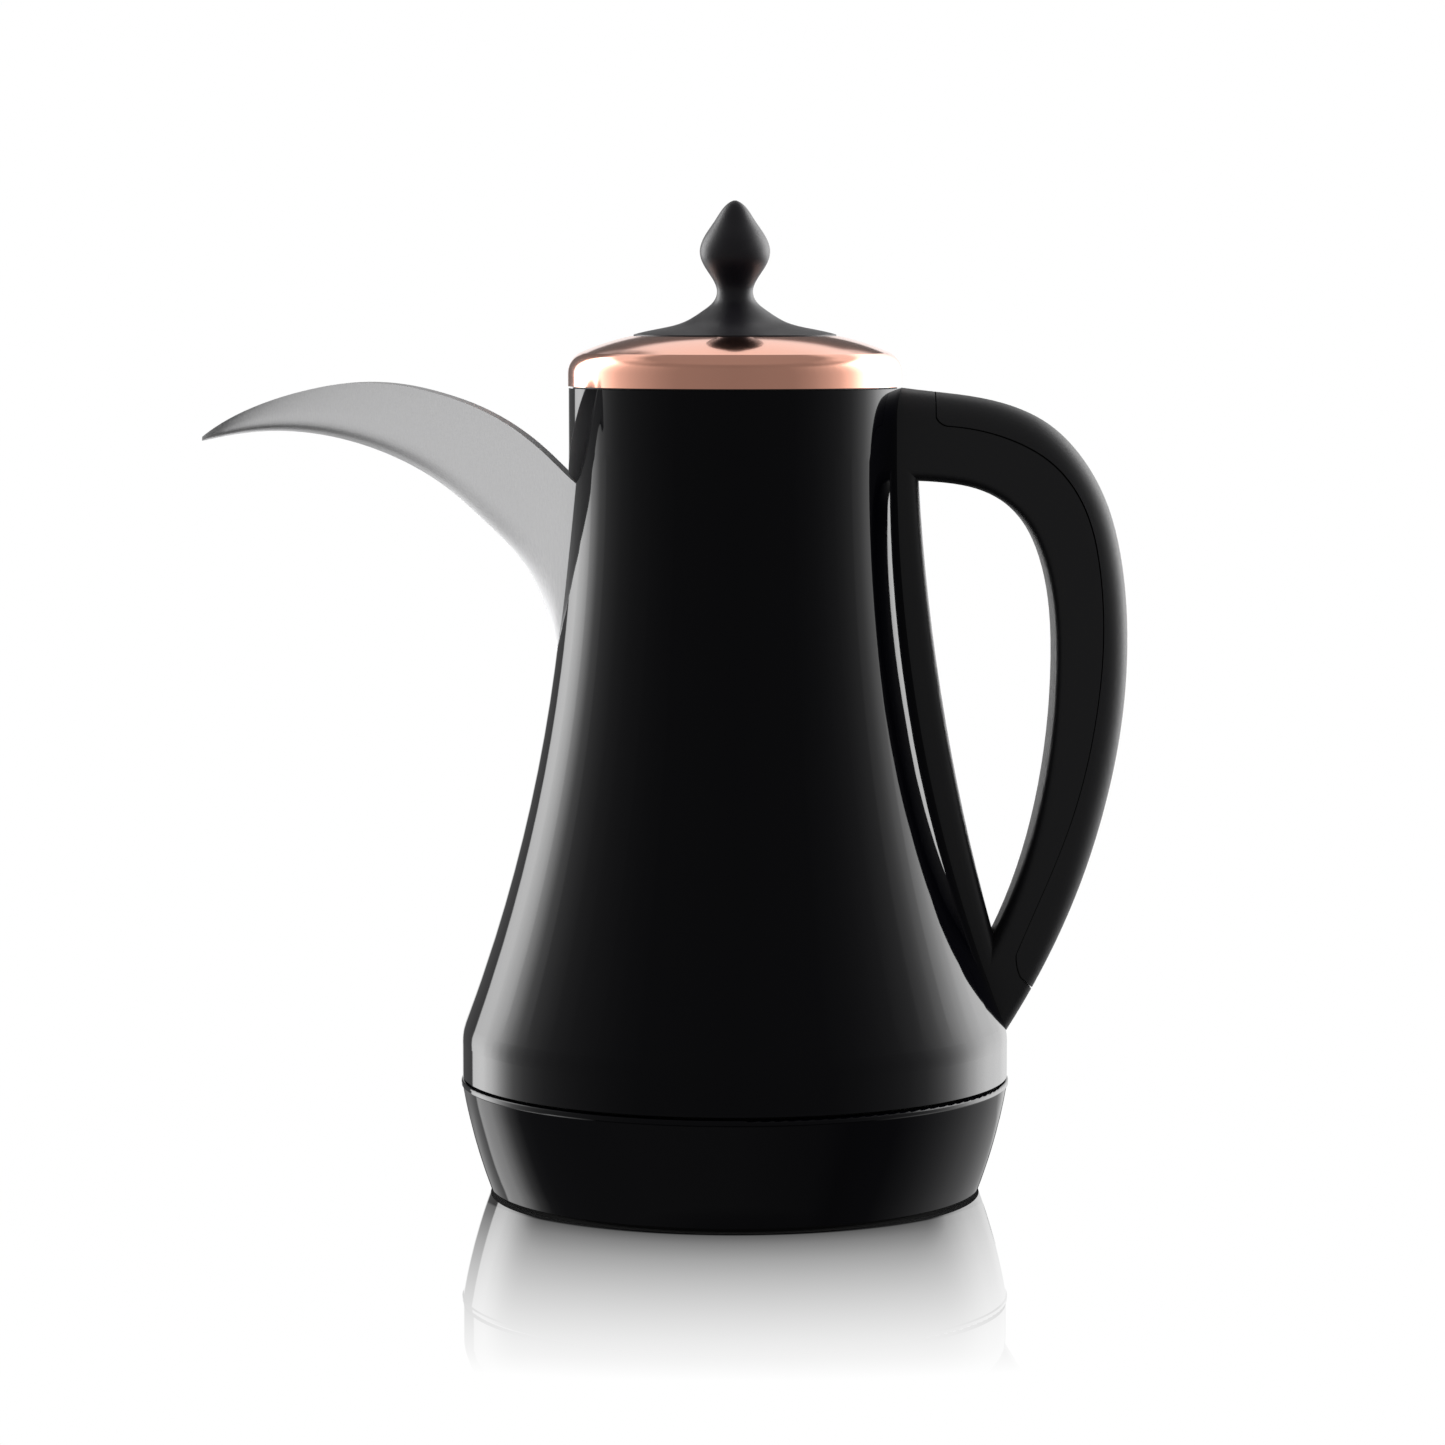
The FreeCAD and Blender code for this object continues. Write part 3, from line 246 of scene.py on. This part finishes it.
# ---------------------------------------------------------------- light
# Brightness of the studio by degrees round from the front: a dim room, then a tall strip
# light at each side that grows brighter to a hard edge, dark screens, and a white backdrop.
LEFT_STRIP = [
    (0, 0.27), (41, 0.3), (54, 0.37), (67, 0.49), (77, 0.62), (87, 0.81), (93, 1.05), (100, 1.47),
    (107, 2.36), (112, 3.9), (116, 5.3), (120, 6.6), (124, 7.3), (132, 6.6), (141, 4.1),
    (145.5, 3.1), (146.5, 0.26), (160, 0.17), (168, 0.13), (169, 1.0), (180, 1.0),
]
RIGHT_STRIP = [
    (0, 0.27), (41, 0.29), (54, 0.38), (67, 0.55), (77, 0.75), (87, 1.22), (93, 1.88), (100, 2.86),
    (107, 4.5), (116, 6.7), (124, 7.0), (132, 6.0), (141, 4.1), (150, 2.7), (160, 1.8),
    (168, 1.1), (180, 1.0),
]
# The same strips below the horizon, where the table cuts them short.
LEFT_FOOT = [
    (0, 0.32), (45, 0.32), (72, 0.26), (100, 0.19), (108, 0.23), (116, 0.8), (124, 2.0),
    (131, 2.5), (139, 2.1), (144.5, 1.9), (146, 0.42), (160, 0.55), (168, 0.5), (170, 0.1),
    (180, 0.1),
]
RIGHT_FOOT = [
    (0, 0.32), (40, 0.24), (52, 0.16), (76, 0.17), (90, 0.34), (100, 0.5), (113, 0.69),
    (124, 0.79), (144, 0.73), (160, 0.57), (168, 0.6), (170, 0.1), (180, 0.1),
]
TOP = [(0, 0.25), (70, 0.3), (100, 0.6), (115, 1.0), (180, 1.0)]
# Levels of the plain parts, and the degrees over which one part turns into the next: RISE is
# elevation and TURN is degrees round from the front.
SHADE_LEVEL = 0.04        # under the table's edge
SHADE_RISE = (-58, -46)
FOOT_RISE = (-14, -10)
TOP_RISE = (34, 42)
CROWN_LEVEL = 0.35        # overhead
CROWN_RISE = (50, 57)
FAR_TURN = (168, 170)     # where the far side of the studio begins
SCREEN_LEVEL = 0.13       # dark screen on the far side, from its lower to its upper edge
SCREEN_LOW_RISE = (11.5, 13)
SCREEN_HIGH_RISE = (27, 30)
FAR_TABLE_LEVEL = 0.03    # the table's far side
FAR_TABLE_RISE = (-10.2, -9.6)


def math_node(tree, operation, *values):
    """Result of one math step on sockets or plain numbers."""
    node = tree.nodes.new("ShaderNodeMath")
    node.operation = operation
    for socket, value in zip(node.inputs, values):
        if isinstance(value, bpy.types.NodeSocket):
            tree.links.new(value, socket)
        else:
            socket.default_value = value
    return node.outputs[0]


def curve_node(tree, source, stops):
    """Piecewise linear curve of a value: stops are (value, level)."""
    low = stops[0][0]
    high = stops[-1][0]
    remap = tree.nodes.new("ShaderNodeMapRange")
    remap.inputs["From Min"].default_value = low
    remap.inputs["From Max"].default_value = high
    tree.links.new(source, remap.inputs["Value"])
    curve = tree.nodes.new("ShaderNodeFloatCurve")
    top = max(level for position, level in stops)
    points = curve.mapping.curves[0].points
    while len(points) < len(stops):
        points.new(0.5, 0.5)   # moved to its place below
    for point, (position, level) in zip(points, stops):
        point.location = ((position - low) / (high - low), level / top)
        point.handle_type = "VECTOR"
    curve.mapping.update()
    tree.links.new(remap.outputs["Result"], curve.inputs["Value"])
    return math_node(tree, "MULTIPLY", curve.outputs["Value"], top)


def blend_node(tree, share, low, high):
    """Value from low to high by share; the node's second socket is for vectors and stays free."""
    blend = tree.nodes.new("ShaderNodeMix")
    for socket, source in zip(blend.inputs[:4], (share, None, low, high)):
        if isinstance(source, bpy.types.NodeSocket):
            tree.links.new(source, socket)
        elif source is not None:
            socket.default_value = source
    return blend.outputs[0]


def ramp_node(tree, source, span):
    """0 below a span of values, 1 above it."""
    low, high = span
    remap = tree.nodes.new("ShaderNodeMapRange")
    remap.inputs["From Min"].default_value = low
    remap.inputs["From Max"].default_value = high
    tree.links.new(source, remap.inputs["Value"])
    return remap.outputs["Result"]


def add_light():
    """Studio all round the object, by direction. The camera and the floor see it as plain white."""
    world = bpy.data.worlds.new("studio")
    scene.world = world
    world.use_nodes = True
    tree = world.node_tree
    tree.nodes.clear()
    direction = tree.nodes.new("ShaderNodeTexCoord").outputs["Generated"]
    split = tree.nodes.new("ShaderNodeSeparateXYZ")
    tree.links.new(direction, split.inputs[0])
    x, y, z = split.outputs
    turn = math_node(tree, "ARCTAN2", x, math_node(tree, "MULTIPLY", y, -1.0))
    turn = math_node(tree, "ABSOLUTE", math_node(tree, "DEGREES", turn))
    rise = math_node(tree, "DEGREES", math_node(tree, "ARCSINE", z))
    right = math_node(tree, "GREATER_THAN", x, 0.0)
    above = ramp_node(tree, rise, FOOT_RISE)
    left_strip = curve_node(tree, turn, LEFT_STRIP)
    right_strip = curve_node(tree, turn, RIGHT_STRIP)
    strips = blend_node(tree, right, left_strip, right_strip)
    left_foot = curve_node(tree, turn, LEFT_FOOT)
    right_foot = curve_node(tree, turn, RIGHT_FOOT)
    feet = blend_node(tree, right, left_foot, right_foot)
    level = blend_node(tree, above, feet, strips)
    level = blend_node(tree, ramp_node(tree, rise, SHADE_RISE), SHADE_LEVEL, level)
    far = ramp_node(tree, turn, FAR_TURN)
    over_edge = ramp_node(tree, rise, SCREEN_LOW_RISE)
    under_edge = math_node(tree, "SUBTRACT", 1.0, ramp_node(tree, rise, SCREEN_HIGH_RISE))
    screen = math_node(tree, "MULTIPLY", math_node(tree, "MULTIPLY", far, over_edge), under_edge)
    level = blend_node(tree, screen, level, SCREEN_LEVEL)
    low = math_node(tree, "SUBTRACT", 1.0, ramp_node(tree, rise, FAR_TABLE_RISE))
    level = blend_node(tree, math_node(tree, "MULTIPLY", far, low), level, FAR_TABLE_LEVEL)
    level = blend_node(tree, ramp_node(tree, rise, TOP_RISE), level, curve_node(tree, turn, TOP))
    level = blend_node(tree, ramp_node(tree, rise, CROWN_RISE), level, CROWN_LEVEL)
    light = tree.nodes.new("ShaderNodeBackground")
    tree.links.new(level, light.inputs["Strength"])
    white = tree.nodes.new("ShaderNodeBackground")
    path = tree.nodes.new("ShaderNodeLightPath").outputs
    seen = math_node(tree, "MAXIMUM", path["Is Camera Ray"], path["Is Singular Ray"])
    choose = tree.nodes.new("ShaderNodeMixShader")
    tree.links.new(seen, choose.inputs[0])
    tree.links.new(light.outputs[0], choose.inputs[1])
    tree.links.new(white.outputs[0], choose.inputs[2])
    for background in (light, white):
        background.inputs["Color"].default_value = (1, 1, 1, 1)
    output = tree.nodes.new("ShaderNodeOutputWorld")
    tree.links.new(choose.outputs[0], output.inputs[0])
    scene.view_settings.view_transform = "Standard"
    scene.view_settings.look = "None"


# Soft boxes for the brushed steel: where each stands and its power.
STEEL_LAMPS = [((-0.8, -1.1, -0.45), 12.0), ((-0.8, 1.1, -0.45), 12.0), ((-0.3, -0.6, 1.5), 7.0)]
STEEL_LAMP_SIZE = 2.4


def add_steel_lamps():
    """Soft boxes that light the brushed steel alone: one at either side and one overhead."""
    lit = bpy.data.collections.new("lit_by_steel_lamps")
    lit.objects.link(nodes["spout"])
    target = sum(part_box("spout"), Vector()) / 2
    for place, power in STEEL_LAMPS:
        data = bpy.data.lights.new("steel_lamp", "AREA")
        data.shape = "DISK"
        data.size = STEEL_LAMP_SIZE
        data.energy = power
        lamp = bpy.data.objects.new("steel_lamp", data)
        lamp.location = place
        lamp.rotation_euler = (target - lamp.location).to_track_quat("-Z", "Y").to_euler()
        lamp.visible_camera = False
        scene.collection.objects.link(lamp)
        lamp.light_linking.receiver_collection = lit


# ---------------------------------------------------------------- floor
FLOOR_SIZE = 8.0
# Share of mirror in the white floor, by metres from the middle of the base. It's multiplied by
# a share that grows as the view gets more level.
MIRROR = [
    (0, 1.3), (0.0705, 1.3), (0.0715, 1.11), (0.084, 0.965), (0.104, 0.79), (0.129, 0.62),
    (0.154, 0.47), (0.178, 0.335), (0.2, 0.22), (0.222, 0.125), (0.243, 0), (0.5, 0),
]


def add_floor():
    bpy.ops.mesh.primitive_plane_add(size=FLOOR_SIZE, location=(0, 0, 0))
    floor = bpy.context.object
    floor.name = "floor"
    floor.visible_glossy = False
    floor.visible_diffuse = False
    floor.visible_transmission = False
    floor.visible_shadow = False
    material = bpy.data.materials.new("white_floor")
    material.use_nodes = True
    tree = material.node_tree
    tree.nodes.clear()
    position = tree.nodes.new("ShaderNodeTexCoord").outputs["Object"]
    length = tree.nodes.new("ShaderNodeVectorMath")
    length.operation = "LENGTH"
    tree.links.new(position, length.inputs[0])
    fade = curve_node(tree, length.outputs["Value"], MIRROR)
    grazing = tree.nodes.new("ShaderNodeLayerWeight")
    grazing.inputs["Blend"].default_value = 0.5   # one less the cosine, as it is
    share = math_node(tree, "MULTIPLY", fade, grazing.outputs["Facing"])
    white = tree.nodes.new("ShaderNodeEmission")
    mirror = tree.nodes.new("ShaderNodeBsdfGlossy")
    mirror.inputs["Color"].default_value = (1, 1, 1, 1)
    mirror.inputs["Roughness"].default_value = 0
    mix = tree.nodes.new("ShaderNodeMixShader")
    tree.links.new(share, mix.inputs[0])
    tree.links.new(white.outputs[0], mix.inputs[1])
    tree.links.new(mirror.outputs[0], mix.inputs[2])
    output = tree.nodes.new("ShaderNodeOutputMaterial")
    tree.links.new(mix.outputs[0], output.inputs[0])
    floor.data.materials.append(material)


# ---------------------------------------------------------------- all together
add_camera()
add_light()
add_steel_lamps()
add_floor()
smooth_nodes()
dress_nodes()
